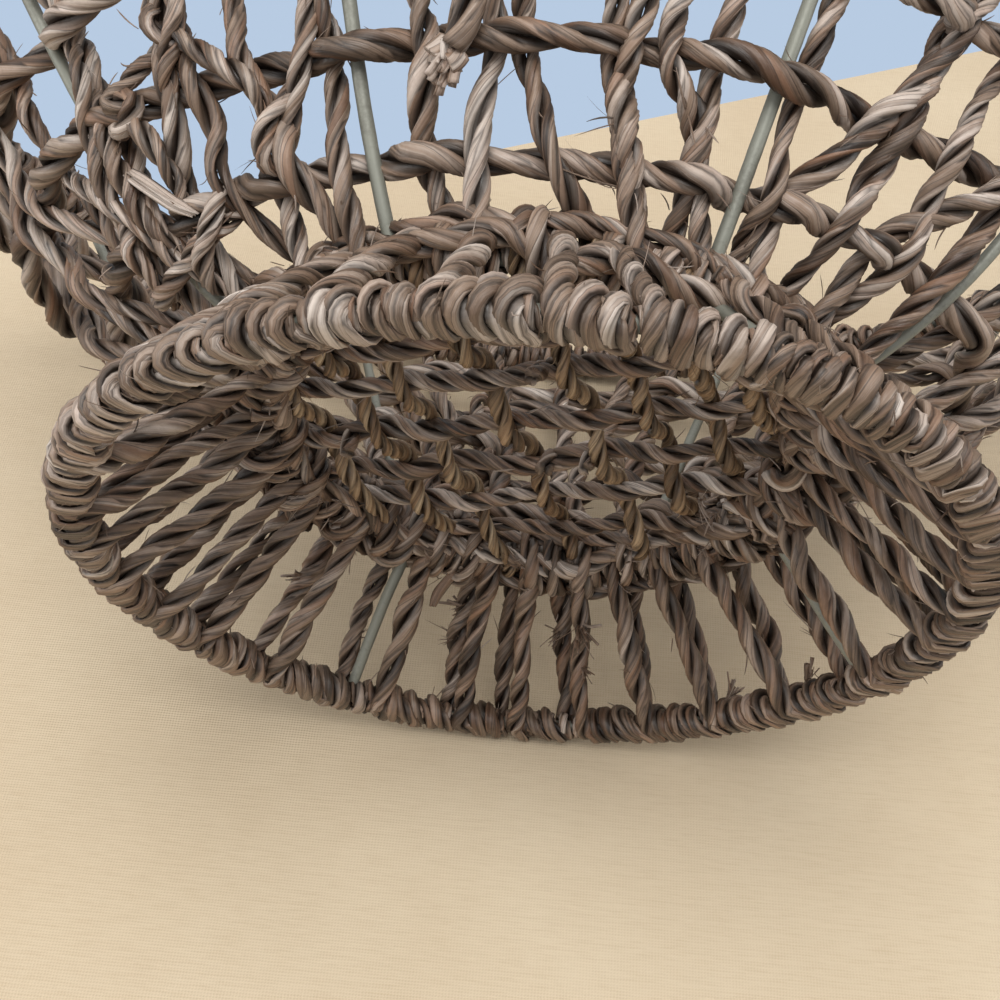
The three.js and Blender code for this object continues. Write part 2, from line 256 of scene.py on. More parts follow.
def wind(ring, azimuth, angle, reach, thickness, press):
    """Points of a path round a ring's wire. Angle 0 is outside the ring and 90 on top of it."""
    turn = np.radians(azimuth)
    tilt = np.radians(angle)
    radius = np.array([ring_radius(ring, a) for a in azimuth])
    outward = np.stack([np.cos(turn), np.sin(turn), np.zeros_like(turn)], 1)
    normal = np.cos(tilt)[:, None] * outward + np.sin(tilt)[:, None] * UP
    place = radius[:, None] * outward + ring[1] * UP + np.reshape(reach, (-1, 1)) * normal
    ones = np.ones((len(turn), 1))
    return np.hstack([place, normal, press * ones, np.reshape(thickness, (-1, 1)) * ones])


def hook(ring, azimuth, first, last, reach, thickness, drift=0.0):
    """Part of a turn round a ring, which drifts along it by some degrees."""
    share = np.linspace(0, 1, max(3, int(abs(last - first) / HOOK_STEP)))
    return wind(ring, azimuth + drift * share, first + (last - first) * share, reach, thickness, LOOP_PRESS)


def distances(places):
    """Distance along a path of each of its points."""
    return np.append(0, np.cumsum(np.linalg.norm(np.diff(places, axis=0), axis=1)))


def smooth_path(stations, step):
    """Points a step apart on a smooth curve through the stations."""
    p = np.vstack(stations)
    p = np.vstack([2 * p[0] - p[1], p, 2 * p[-1] - p[-2]])
    a, b, c, d = (part[:, None] for part in (p[:-3], p[1:-2], p[2:-1], p[3:]))
    t = np.linspace(0, 1, 8, endpoint=False)[None, :, None]
    curve = 2 * b + (c - a) * t + (2 * a - 5 * b + 4 * c - d) * t**2 + (3 * b - a - 3 * c + d) * t**3
    dense = np.vstack([0.5 * curve.reshape(-1, p.shape[1]), p[-2]])
    along = distances(dense[:, :3])
    places = np.linspace(0, along[-1], max(4, int(along[-1] / step)))
    return np.stack([np.interp(places, along, column) for column in dense.T], 1)


def drifting(rng, length, spacing, count, columns=1):
    """Smooth random values from -1 to 1 along a length, one row for each of count points."""
    knots = rng.uniform(-1, 1, (int(length / spacing) + 3, columns))
    place = np.linspace(0, length / spacing, count)
    low = place.astype(int)
    share = (place - low)[:, None]
    share = share * share * (3 - 2 * share)
    return knots[low] * (1 - share) + knots[low + 1] * share


def carried_frames(places):
    """Two normals at each point, carried along the path without twist."""
    tangent = np.gradient(places, axis=0)
    tangent /= np.linalg.norm(tangent, axis=1, keepdims=True)
    normal = np.empty_like(places)
    side = np.cross(tangent[0], [0.31, 0.57, 0.76])
    normal[0] = side / np.linalg.norm(side)
    for i in range(1, len(places)):
        carried = normal[i - 1] - tangent[i] * np.dot(tangent[i], normal[i - 1])
        normal[i] = carried / np.linalg.norm(carried)
    return normal, np.cross(tangent, normal)


def turned(normal, side, angle):
    """Two normals of a path, turned about it by an angle at each point."""
    cosine = np.cos(angle)[:, None]
    sine = np.sin(angle)[:, None]
    return cosine * normal + sine * side, cosine * side - sine * normal


def circle(wide, thin, sides):
    """Vectors round each point of a path, from one of its normals to the other."""
    angles = (np.arange(sides) * 2 * math.pi / sides)[:, None]
    return np.cos(angles) * wide[:, None] + np.sin(angles) * thin[:, None]


def new_object(name, data):
    """An object with this data, in the scene."""
    made = bpy.data.objects.new(name, data)
    bpy.context.scene.collection.objects.link(made)
    return made


def pose(x_axis, y_axis, z_axis, place):
    """The matrix of an object with these axes, at a place in millimetres."""
    matrix = np.eye(4)
    matrix[:3] = np.stack([x_axis, y_axis, z_axis, place * MM], 1)
    return Matrix(matrix.tolist())


class Surface:
    """Gathers tubes and makes one mesh object of them."""

    def __init__(self):
        self.points = []
        self.faces = []
        self.maps = []
        self.tones = []
        self.count = 0

    def tube(self, rings, along, tone, closed=False):
        """Adds a tube of rings of points. along runs down the length, tone is a colour for each point."""
        n, m = rings.shape[:2]
        row = np.arange(n if closed else n - 1)[:, None]
        column = np.arange(m)[None, :]
        after = (row + 1) % n
        beside = (column + 1) % m
        corners = [row * m + column, row * m + beside, after * m + beside, after * m + column]
        self.faces.append(np.stack(corners, -1).reshape(-1, 4) + self.count)
        ahead = np.append(along[1:], 2 * along[-1] - along[-2]) if closed else along[1:]
        behind = along if closed else along[:-1]
        u = np.stack([behind, behind, ahead, ahead], 1)[:, None]
        v = (np.arange(m)[:, None] + [0, 1, 1, 0])[None] / m
        self.maps.append(np.stack(np.broadcast_arrays(u, v), -1).reshape(-1, 2))
        self.points.append(rings.reshape(-1, 3))
        self.tones.append(tone.reshape(-1, 3))
        first = self.count
        self.count += n * m
        if not closed:
            self.lid(rings[0], tone[0], along[0], first, False)
            self.lid(rings[-1], tone[-1], along[-1], first + (n - 1) * m, True)

    def lid(self, ring, tone, along, start, far):
        """Closes a tube's end, whose points begin at start in the list, with a point in its middle."""
        m = len(ring)
        self.points.append(ring.mean(0)[None])
        self.tones.append(tone.mean(0)[None])
        column = start + np.arange(m)
        beside = np.roll(column, -1)
        order = [column, beside] if far else [beside, column]
        self.faces.append(np.stack([*order, np.full(m, self.count)], 1))
        self.maps.append(np.tile([[along, 0.2], [along, 0.3], [along, 0.25]], (m, 1)))
        self.count += 1

    def piece(self, name, material):
        """The finished object, in metres."""
        mesh = bpy.data.meshes.new(name)
        points = np.vstack(self.points) * MM
        loops = np.concatenate([faces.ravel() for faces in self.faces])
        sizes = np.concatenate([np.full(*faces.shape) for faces in self.faces])
        starts = np.cumsum(sizes) - sizes
        mesh.vertices.add(len(points))
        mesh.vertices.foreach_set("co", points.ravel().astype(np.float32))
        mesh.loops.add(len(loops))
        mesh.loops.foreach_set("vertex_index", loops.astype(np.int32))
        mesh.polygons.add(len(sizes))
        mesh.polygons.foreach_set("loop_start", starts.astype(np.int32))
        mesh.update(calc_edges=True)
        mesh.shade_smooth()
        layer = mesh.uv_layers.new(name="UVMap")
        layer.data.foreach_set("uv", np.vstack(self.maps).ravel().astype(np.float32))
        tones = np.pad(np.vstack(self.tones), ((0, 0), (0, 1)), constant_values=1)
        attribute = mesh.color_attributes.new("tone", "FLOAT_COLOR", "POINT")
        attribute.data.foreach_set("color", tones.ravel().astype(np.float32))
        mesh.materials.append(material)
        return new_object(name, mesh)


def rope(
    surface, stations, rng, lay=4.2, columns=COLUMNS, step=STEP, wander=0.25, grounded=False, fibre_gap=None
):
    """Adds a right-laid two-ply rope along a path. Each ply is a bundle of leaf folded into ribbons.

    Its lay is the length of a turn over the thickness. Its shape and tones drift over some millimetres.
    """
    path = smooth_path(stations, step)
    count = len(path)
    length = count * step
    places = path[:, :3] + wander * drifting(rng, length, 9, count, 3)
    normal, side = carried_frames(places)
    press = path[:, 3:6]
    give = (1 - path[:, 6])[:, None, None]
    thickness = path[:, 7] * (1 + 0.1 * drifting(rng, length, 14, count)[:, 0])
    turning = 1 + 0.25 * drifting(rng, length, 16, count)[:, 0]
    turn = np.cumsum(2 * math.pi * step / (lay * thickness) * turning) + rng.uniform(0, 2 * math.pi)
    opening = PLY_OFFSET * thickness * (1 + 0.16 * drifting(rng, length, 13, count)[:, 0])
    round_angles = np.arange(columns) * 2 * math.pi / columns
    # The side of a ply that faces the other one is painted dark: painted shade between the plies.
    painted_ply_shade = np.clip((0.15 - np.cos(round_angles)) / 0.75, 0, 1)
    for ply in (0, 1):
        out, across = turned(normal, side, turn + math.pi * ply)
        fullness = 1 + 0.15 * drifting(rng, length, 11, count)
        stand, painted_tuck_shade, ribbon_light, ribbon_warmth = ribbons(rng, length, count, round_angles)
        swell = (1 + stand)[:, :, None] * (thickness[:, None] * fullness)[:, :, None]
        offset = opening[:, None, None] * out[:, None]
        offset = offset + swell * circle(PLY_DEPTH * out, PLY_WIDTH * across, columns)
        along_press = np.einsum("ijk,ik->ij", offset, press)[:, :, None]
        rings = places[:, None, :] + offset - give * along_press * press[:, None, :]
        if grounded:
            # What would sink below the foot's level is squeezed flat above it.
            height = rings[:, :, 2]
            rings[:, :, 2] = np.where(height < 1, np.exp(np.minimum(height, 1) - 1), height)
        tone = np.empty((count, columns, 3))
        light = rng.uniform(0.35, 0.65) + 0.18 * drifting(rng, length, 22, count)
        tone[:, :, 0] = np.clip(light + ribbon_light, 0, 1)
        # The green tone is painted shade, under the tucked edges and on the side of a ply that faces the
        # other.
        tone[:, :, 1] = np.maximum(painted_tuck_shade, painted_ply_shade)
        tone[:, :, 2] = np.clip(ribbon_warmth + 0.3 * drifting(rng, length, 30, count), 0, 1)
        surface.tube(rings, (np.arange(count) * step + rng.uniform(0, MAP_SPREAD)) / MAP_UNIT, tone)
    if fibre_gap:
        fibres(surface, path, rng, fibre_gap)


def ribbons(rng, length, count, round_angles):
    """Folded leaf round a ply: each point's stand, its painted shade by the tucked edge, lightness and
    warmth.
    """
    start = np.arange(RIBBONS) + 0.34 * drifting(rng, length, 24, count, RIBBONS)
    start = np.hstack([start[:, -1:] - RIBBONS, start, start[:, :2] + RIBBONS])
    spin = rng.uniform(0, RIBBONS) + 0.9 * drifting(rng, length, 40, count)
    at = (round_angles[None, :] * RIBBONS / (2 * math.pi) + spin) % RIBBONS
    index = (at[:, :, None] >= start[:, None, :]).sum(2) - 1
    low = np.take_along_axis(start, index, 1)
    high = np.take_along_axis(start, index + 1, 1)
    share = (at - low) / (high - low)
    depth = 0.12 + 0.07 * drifting(rng, length, 12, count)
    stand = depth * (1 - 2 * share) + 0.08 * np.sin(math.pi * share)
    # Painted shade: the part of a ribbon that lies tucked under the next one is darkened.
    tucked = np.clip((share - 0.7) / 0.3, 0, 1)
    ribbon = (index - 1) % RIBBONS
    lights = rng.uniform(-0.34, 0.34, RIBBONS) + 0.16 * drifting(rng, length, 28, count, RIBBONS)
    warmths = rng.uniform(0, 1, RIBBONS)
    return stand, tucked, np.take_along_axis(lights, ribbon, 1), warmths[ribbon]


def strand(surface, places, width, rng, flat, light, warm, torn=False):
    """Adds a single strip of leaf or a fibre along a path, tapering to its ends unless it is torn."""
    count = len(places)
    normal, side = carried_frames(places)
    share = np.linspace(0, 1, count)
    from_tip = np.ones(count) if torn else 1 - share
    half = 0.5 * width * np.clip(0.25 + 3 * np.minimum(share + 0.12, from_tip), 0.12, 1)[:, None, None]
    twist = rng.uniform(0, 2 * math.pi) + rng.uniform(-1.5, 1.5) * share
    wide, thin = turned(normal, side, twist)
    rings = places[:, None] + half * circle(wide, flat * thin, STRAND_SIDES)
    tone = np.broadcast_to([light, 0.0, warm], rings.shape).copy()
    surface.tube(rings, (distances(places) + rng.uniform(0, MAP_SPREAD)) / MAP_UNIT, tone)


def curl(start, direction, length, bend, count):
    """Points of a strand that leaves a place in a direction and bends by a vector over its length."""
    share = np.linspace(0, 1, count)[:, None]
    direction = np.asarray(direction, float) / np.linalg.norm(direction)
    return np.asarray(start) + length * share * direction + share**2 * np.asarray(bend)


def fibres(surface, path, rng, spacing):
    """Fine loose fibres that stand off a rope."""
    for index in np.arange(2, len(path) - 2, max(1, int(spacing / STEP))):
        if rng.uniform() < FIBRE_SKIP:
            continue
        place = path[index, :3]
        tangent = path[index + 1, :3] - path[index - 1, :3]
        tangent = tangent / np.linalg.norm(tangent) * rng.choice((-1, 1))
        off = rng.normal(size=3)
        off -= tangent * np.dot(off, tangent)
        off /= np.linalg.norm(off)
        start = place + off * 0.42 * path[index, 7]
        length = FIBRE_REACH * rng.uniform(0.4, 1.3)
        points = curl(start, tangent + 0.5 * off, length, rng.uniform(-1.6, 1.6, 3), 6)
        points[:, 2] = np.maximum(points[:, 2], FIBRE_FLOOR)
        width, light, warm = rng.uniform((0.18, 0.2, 0.2), (0.4, 0.9, 0.9))
        strand(surface, points, width, rng, 0.6, light, warm)


def tuft(surface, place, direction, rng, count, length, spread, width, light=0.7, torn=False):
    """A frayed end: strips of leaf that fan out from a place."""
    direction = np.asarray(direction, float) / np.linalg.norm(direction)
    for _ in range(count):
        aim = direction + spread * rng.normal(size=3)
        start = np.asarray(place) + rng.uniform(-1, 1, 3) * max(0.8, 0.6 * width)
        bend = (0.12 if torn else 0.4) * length * rng.normal(size=3)
        points = curl(start, aim, length * rng.uniform(0.5, 1.15), bend, 8)
        tone = np.clip(light + rng.uniform(-0.25, 0.25), 0, 1)
        warmth = rng.uniform(0.2, 1.0)
        strand(surface, points, width * rng.uniform(0.5, 1.3), rng, 0.3, tone, warmth, torn)


def winding(ring, start, end, angle, turns, rng):
    """Points of a rope wound along a ring. Its turns lean, spread and lift unevenly."""
    count = int(turns * TURN_POINTS) + 1
    share = np.linspace(0, 1, count)
    angles = angle - 360 * turns * share
    lean = WRAP_LEAN * (1 + 0.7 * drifting(rng, turns, 1.3, count)[:, 0])
    slide = 0.2 * (end - start) / turns * drifting(rng, turns, 1, count)[:, 0] * np.sin(math.pi * share)
    azimuths = start + (end - start) * share + slide + lean * np.sin(np.radians(225 - angles))
    lift = WRAP_REACH + 0.5 * drifting(rng, turns, 0.8, count)[:, 0]
    thickness = WRAP_THICKNESS * (1 + 0.14 * drifting(rng, turns, 0.7, count)[:, 0])
    return wind(ring, azimuths, angles, lift, thickness, WRAP_PRESS)


def pair_shape(quarter, index):
    """Azimuth of the middle of a pair of legs, and half its width at the foot and the waist, in degrees."""
    if index in (0, LAST_PAIR):
        half_foot, half_waist = STRUT_GAPS[quarter][0 if index == 0 else 1]
    else:
        half_foot, half_waist = HALF_GAPS[quarter][index - 1]
    middle = quarter_start(quarter) + PAIRS[index]
    return middle, math.degrees(half_foot / FOOT[0]), math.degrees(half_waist / WAIST[0])


def leg_spot(quarter, index, side, share):
    """A place on a leg of a pair, on the line that touches both rings. Side -1 runs inside, 1 outside."""
    middle, half_foot, half_waist = pair_shape(quarter, index)
    angle = np.array([SKIRT_LEAN if side > 0 else 180 + SKIRT_LEAN])
    low = wind(FOOT, np.array([middle + side * half_foot]), angle, LEG_REACH, 1, 1)[0, :3]
    high = wind(WAIST, np.array([middle + side * half_waist]), angle, LOOP_REACH, 1, 1)[0, :3]
    return low + (high - low) * share


def leg(quarter, index, side, rng):
    """Free points of one leg, from the foot up."""
    points = []
    for share in (0.2, 0.42, 0.62, 0.82):
        place = leg_spot(quarter, index, side, share) + rng.uniform(-0.8, 0.8, 3)
        points.append(station(place, LEG_THICKNESS * rng.uniform(0.88, 1.12)))
    return np.vstack(points)


def skirt_lacing(quarter, rng):
    """Path that winds along the foot ring and runs up over the waist ring and back at each pair."""
    stations = []
    inner = 180 + SKIRT_LEAN
    outer = SKIRT_LEAN
    for index in range(len(PAIRS)):
        middle, half_foot, half_waist = pair_shape(quarter, index)
        if index > 0:
            end = middle - half_foot
            turns = max(1, round(math.radians(end - begin) * FOOT[0] / WRAP_PITCH - 0.5)) + 0.5
            stations.append(winding(FOOT, begin, end, outer, turns, rng))
            stations.append(leg(quarter, index, -1, rng))
        angles = np.linspace(inner, outer, 7)
        sweep = np.linspace(-half_waist, half_waist, 7)
        loop = wind(WAIST, middle + sweep, angles, LOOP_REACH, LOOP_THICKNESS, LOOP_PRESS)
        stations.append(loop[3 if index == 0 else 0:4 if index == LAST_PAIR else 7])
        if index < LAST_PAIR:
            stations.append(leg(quarter, index, 1, rng)[::-1])
            begin = middle + half_foot
    # The winding runs on past the last leg, to the next quarter's strut and its first leg.
    past = quarter_start(quarter) + 90 + pair_shape(quarter, 0)[1]
    return stations, [winding(FOOT, end, past, outer + 200, 3, rng)]


def ring_wrap(ring, quarter, pitch, reach, thickness, press):
    """Path of a rope wound closely along a quarter of a ring."""
    arc = np.linspace(0, 90, 46)
    spots = np.array([polar(ring_radius(ring, quarter_start(quarter) + a), a, 0) for a in arc])
    turns = round(distances(spots)[-1] / pitch)
    share = np.linspace(0, 1, turns * TURN_POINTS + 1)
    return [wind(ring, quarter_start(quarter) + 90 * share, -360 * turns * share, reach, thickness, press)]


def border(quarter, angle, reach, rng):
    """Path of a rope that runs along the waist ring, outside its wraps."""
    share = np.linspace(-0.02, 1.02, 30)
    angles = angle + 22 * drifting(rng, 90, 9, 30)[:, 0]
    reaches = reach + 0.9 * drifting(rng, 90, 7, 30)[:, 0]
    return [wind(WAIST, quarter_start(quarter) + 90 * share, angles, reaches, BORDER_THICKNESS, 1.0)]


def stake(quarter, index, rng):
    """Path of a bowl stake, hooked round the waist ring and the rim and woven through the rows.

    Odd stakes leave the rings on the outside, and even ones on the inside.
    """
    side, sense = (0, 1) if index % 2 else (180, -1)
    low = stake_azimuth(quarter, index, WAIST[1])
    high = stake_azimuth(quarter, index, RIM_HEIGHT)
    leave = side - wall_lean(WAIST[1], WAIST[1] + LEAN_SPAN, low)
    arrive = side - wall_lean(RIM_HEIGHT - LEAN_SPAN, RIM_HEIGHT, high)
    tip = leave - sense * WAIST_HOOK_TURN
    stations = [hook(WAIST, low, tip, leave, STAKE_HOOK_REACH, LOOP_THICKNESS, 2.0)]
    for row, height in enumerate(ROW_HEIGHTS):
        middle = height - HALF_ROW_GAP
        if row > 0:
            place = wall_place(middle, stake_azimuth(quarter, index, middle), 0.8)
            place = place + rng.uniform(-1.4, 1.4, 3)
            stations.append(station(place, STAKE_THICKNESS * rng.uniform(0.9, 1.15)))
        shift = STAKE_SHIFTS[ROW_PASSES[row][index]]
        place = wall_place(height, stake_azimuth(quarter, index, height), shift)
        stations.append(station(place, STAKE_THICKNESS * rng.uniform(0.85, 1.05)))
    tip = arrive + sense * RIM_HOOK_TURN
    stations.append(hook(RIM, high, arrive, tip, RIM_HOOK_REACH, RIM_HOOK_THICKNESS))
    return stations


def weaver_row(row, rng):
    """Path of a row, which passes outside or inside each stake and wire."""
    height = ROW_HEIGHTS[row]
    crossings = []
    for quarter in QUARTERS:
        for index in range(len(STAKES)):
            crossings.append((stake_azimuth(quarter, index, height), ROW_SHIFTS[ROW_PASSES[row][index]]))
        for mark, turn in zip(WIRE_PASSES[row], (0.0, RIB_AZIMUTH)):
            crossings.append((quarter_start(quarter) + turn, WIRE_SHIFTS[mark]))
    azimuths, shifts = np.array(crossings).T
    at = np.arange(0, 362, 2.0)
    shift = np.interp(at, azimuths, shifts, period=360)
    lift = 1.5 * drifting(rng, 362, 26, len(at))[:, 0]
    return [station(wall_place(height + z, a, s), ROW_THICKNESS) for a, s, z in zip(at, shift, lift)]


def floor_rope(index, warp, rng):
    """Path of a floor rope, over and under those that cross it and hooked round the waist ring."""
    own, others = (WARPS, WEFTS) if warp else (WEFTS, WARPS)
    turn, other_turn = (WARP_TURN, WEFT_TURN) if warp else (WEFT_TURN, WARP_TURN)
    thickness = WARP_THICKNESS if warp else WEFT_THICKNESS
    lift = WARP_LIFT if warp else WEFT_LIFT
    line = own[index] * FLOOR_RADIUS
    reach = math.sqrt(WAIST[0] ** 2 - line**2)
    normal = polar(1, turn, 0)
    direction = polar(1, turn + (90 if warp else -90), 0)
    other_normal = polar(1, other_turn, 0)

    def end(sign, over):
        place = line * normal + sign * reach * direction
        azimuth = math.degrees(math.atan2(place[1], place[0]))
        sense = -1 if over else 1
        first = 180 + sense * MEET_ANGLE
        last = first + sense * WAIST_HOOK_TURN
        return hook(WAIST, azimuth, first, last, FLOOR_HOOK_REACH, thickness * 0.9)

    over_first = (index + (0 if warp else 1)) % 2 == 0
    stations = [end(-1, over_first)[::-1]]
    for other_index, other in enumerate(others):
        crossing = np.linalg.solve([normal[:2], other_normal[:2]], [line, other * FLOOR_RADIUS])
        if np.hypot(*crossing) > WAIST[0] - CROSSING_MARGIN:
            continue
        over = ((index + other_index) % 2 == 1) == warp
        place = np.array([*crossing, FLOOR_HEIGHT + (lift if over else -lift)])
        stations.append(station(place + rng.uniform(-0.6, 0.6, 3), thickness * rng.uniform(0.9, 1.1)))
    stations.append(end(1, not over_first))
    return stations


def cut_end(index, radius, azimuth):
    """Path of a short end of rope, from a weft to a place below the floor."""
    tip = polar(radius, azimuth, WAIST[1] - 5.5)
    across = polar(1, WEFT_TURN, 0)
    root = tip + (WEFTS[index] * FLOOR_RADIUS - np.dot(tip, across)) * across + 6.5 * UP
    return [station(root + (tip - root) * share, 4.6) for share in (0, 0.4, 0.8, 1)]


def wire_tube(surface, places, rng, closed=False, flare=0.0):
    """Adds a round painted wire. With a flare its ends spread into a bead of weld."""
    count = len(places)
    normal, side = carried_frames(places)
    if closed:
        tangent = np.roll(places, -1, 0) - np.roll(places, 1, 0)
        tangent /= np.linalg.norm(tangent, axis=1, keepdims=True)
        side = np.broadcast_to(UP, places.shape)
        normal = np.cross(side, tangent)
    along = distances(places)
    from_end = np.minimum(along, along[-1] - along)
    spread = WIRE_RADIUS * (1 + flare * np.exp(-((from_end / 2.2) ** 2)))
    spread = spread * (1 + 0.02 * rng.uniform(-1, 1, count))
    rings = places[:, None] + spread[:, None, None] * circle(normal, side, WIRE_SIDES)
    tone = np.full((count, WIRE_SIDES, 3), 0.5)
    tone[:, :, 0] = 0.5 + 0.5 * drifting(rng, along[-1], 15, count)
    tone[:, :, 1] = np.exp(-((from_end / 3.0) ** 2))[:, None] if flare else 0.0
    surface.tube(rings, along / MAP_UNIT, tone, closed)


def srgb(red, green, blue):
    """A colour as it is seen on screen, out of 255, as the linear values that sockets take."""
    def linear(value):
        value /= 255
        return value / 12.92 if value <= 0.04045 else ((value + 0.055) / 1.055) ** 2.4
    return (linear(red), linear(green), linear(blue), 1.0)


BLACK = (0.0, 0.0, 0.0, 1.0)
WHITE = (1.0, 1.0, 1.0, 1.0)


class Nodes:
    """The node tree of a material or a world, built by short calls."""

    def __init__(self, owner, shader, output):
        owner.use_nodes = True
        self.owner = owner
        self.tree = owner.node_tree
        self.shader = self.tree.nodes[shader]
        self.output = self.tree.nodes[output]

    def add(self, kind, inputs=None, **settings):
        node = self.tree.nodes.new("ShaderNode" + kind)
        for key, value in settings.items():
            setattr(node, key, value)
        for key, value in (inputs or {}).items():
            self.put(value, node.inputs[key])
        return node

    def put(self, value, socket):
        if isinstance(value, bpy.types.NodeSocket):
            self.tree.links.new(value, socket)
        else:
            socket.default_value = value

    def math(self, operation, *values):
        return self.add("Math", dict(enumerate(values)), operation=operation).outputs[0]

    def mix(self, share, first, second, blend="MIX"):
        colours = {"Factor": share, "A": first, "B": second}
        return self.add("Mix", colours, data_type="RGBA", blend_type=blend).outputs["Result"]

    def ramp(self, value, stops):
        node = self.add("ValToRGB")
        elements = node.color_ramp.elements
        while len(elements) < len(stops):
            elements.new(0.5)
        for element, (position, colour) in zip(elements, stops):
            element.position = position
            element.color = colour
        self.put(value, node.inputs["Fac"])
        return node.outputs["Color"]

    def weigh(self, first, share, second, other_share):
        return self.math("MULTIPLY_ADD", first, share, self.math("MULTIPLY", second, other_share))

    def scaled(self, vector, scale):
        return self.add("Mapping", {"Vector": vector, "Scale": scale}).outputs["Vector"]

    def paint(self, colour, roughness):
        self.put(colour, self.shader.inputs["Base Color"])
        self.put(roughness, self.shader.inputs["Roughness"])

    def bump(self, height, strength, distance):
        node = self.add("Bump", {"Height": height, "Strength": strength, "Distance": distance})
        self.put(node.outputs["Normal"], self.shader.inputs["Normal"])

    def noise(self, vector, scale, detail, roughness=0.6, dimensions="3D"):
        settings = {"Vector": vector, "Scale": scale, "Detail": detail, "Roughness": roughness}
        return self.add("TexNoise", settings, noise_dimensions=dimensions).outputs["Fac"]

    def cells(self, vector, feature):
        settings = {"Vector": vector, "Scale": 1.0}
        return self.add("TexVoronoi", settings, voronoi_dimensions="2D", feature=feature)

    def show(self, share, first, second):
        """Shows one shader, or another where the share is 1."""
        node = self.add("MixShader", {0: share, 1: first.outputs[0], 2: second.outputs[0]})
        self.put(node.outputs[0], self.output.inputs["Surface"])

    def tone(self):
        colour = self.add("VertexColor", layer_name="tone").outputs["Color"]
        return self.add("SeparateColor", {"Color": colour}).outputs


def material_nodes(name):
    """The nodes of a new material."""
    return Nodes(bpy.data.materials.new(name), "Principled BSDF", "Material Output")


def grass_material(name, dark, middle, light, warm):
    """Twisted dried leaf: broad folded strips along each ply, with painted shade at their tucked edges and in
    the gaps between them, and soft streaks.
    """
    n = material_nodes(name)
    tone = n.tone()
    uv = n.add("UVMap", uv_map="UVMap").outputs["UV"]
    bent = n.noise(n.scaled(uv, (0.8, 3.0, 1.0)), 1.0, 2.0, 0.5, "2D")
    shifted = n.add("CombineXYZ", {"Y": n.math("MULTIPLY_ADD", bent, 0.12, -0.06)}).outputs["Vector"]
    bent_uv = n.add("VectorMath", {0: uv, 1: shifted}, operation="ADD").outputs["Vector"]
    strip_uv = n.scaled(bent_uv, (0.28, 5.0, 1.0))
    strip = n.add("SeparateColor", {"Color": n.cells(strip_uv, "F1").outputs["Color"]}).outputs
    edge = n.cells(strip_uv, "DISTANCE_TO_EDGE").outputs["Distance"]
    streaks = n.noise(n.scaled(bent_uv, (0.5, 30.0, 1.0)), 1.0, 3.0, 0.6, "2D")
    specks = n.noise(uv, 3.0, 4.0, 0.7, "2D")
    # Painted shade: thin dark lines in the gaps between leaf strips, joined with the painted shade in the
    # tone's green.
    painted_gap_shade = n.ramp(edge, [(0.0, WHITE), (0.06, BLACK)])
    painted_crease_shade = n.math("MAXIMUM", n.math("MULTIPLY", painted_gap_shade, 0.75), tone["Green"])
    shade = n.weigh(tone["Red"], 0.62, strip["Red"], 0.22)
    shade = n.math("ADD", shade, n.math("MULTIPLY_ADD", streaks, 0.3, -0.12))
    colour = n.ramp(shade, [(0.1, dark), (0.45, middle), (0.9, light)])
    redness = n.math("MULTIPLY", n.math("MULTIPLY", tone["Blue"], strip["Green"]), 0.6)
    colour = n.mix(redness, colour, warm)
    colour = n.mix(n.math("MULTIPLY", painted_crease_shade, 0.9), colour, dark)
    grime = n.ramp(specks, [(0.36, (0.5, 0.45, 0.42, 1)), (0.56, WHITE)])
    n.paint(n.mix(0.3, colour, grime, "MULTIPLY"), n.math("MULTIPLY_ADD", strip["Blue"], -0.2, 0.54))
    n.shader.inputs["Specular IOR Level"].default_value = 0.55
    rounded = n.math("SMOOTH_MIN", edge, 0.28, 0.15)
    n.bump(n.weigh(rounded, 1.4, streaks, 0.4), 0.6, 0.6 * MM)
    return n.owner


def wire_material(name, colour, worn):
    """Thin paint on wire, slightly streaked, with darker bare metal by the welds."""
    n = material_nodes(name)
    tone = n.tone()
    place = n.add("TexCoord").outputs["Object"]
    spots = n.noise(place, 900.0, 5.0, 0.65)
    clouds = n.noise(place, 60.0, 3.0, 0.5)
    mask = n.ramp(n.weigh(clouds, 0.5, spots, 0.6), [(0.55, BLACK), (0.72, WHITE)])
    share = n.math("MAXIMUM", n.math("MULTIPLY", mask, 0.45), n.math("MULTIPLY", tone["Green"], 0.7))
    n.paint(n.mix(share, colour, worn), n.math("MULTIPLY_ADD", spots, 0.3, 0.32))
    n.shader.inputs["Metallic"].default_value = 0.15
    n.bump(spots, 0.18, 0.3 * MM)
    return n.owner


def cloth_material(name, pale, deep):
    """Linen: two crossed sets of uneven threads. Its back is clear, so that it hides nothing from behind."""
    n = material_nodes(name)
    place = n.add("TexCoord").outputs["Object"]
    wave = {"Vector": place, "Scale": THREAD_SCALE, "Distortion": 1.4, "Detail": 2.0, "Detail Scale": 0.4}
    bands = [n.add("TexWave", wave, bands_direction=direction).outputs["Fac"] for direction in "XY"]
    slubs = n.noise(n.scaled(place, (110, 900, 1)), 1.0, 2.0)
    threads = n.weigh(bands[0], 0.5, bands[1], 0.5)
    clouds = n.noise(place, 9.0, 3.0, 0.5)
    colour = n.ramp(clouds, [(0.3, deep), (0.7, pale)])
    grain = n.ramp(n.weigh(slubs, 0.7, threads, 0.4), [(0.3, (0.84, 0.8, 0.75, 1)), (0.6, WHITE)])
    n.paint(n.mix(0.6, colour, grain, "MULTIPLY"), 0.9)
    n.shader.inputs["Specular IOR Level"].default_value = 0.1
    n.bump(threads, 0.35, 0.3 * MM)
    n.show(n.add("NewGeometry").outputs["Backfacing"], n.shader, n.add("BsdfTransparent"))
    return n.owner


def place_piece(surface, node, slot):
    """Makes the piece that stands for a CAD node. Its name starts with its slot's last word, wire or rope."""
    kind = slot.split("_")[-1]
    piece = surface.piece(f"{kind}_{node.removesuffix('_wire')}", MATERIALS[slot])
    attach(piece, "root")
    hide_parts(node)


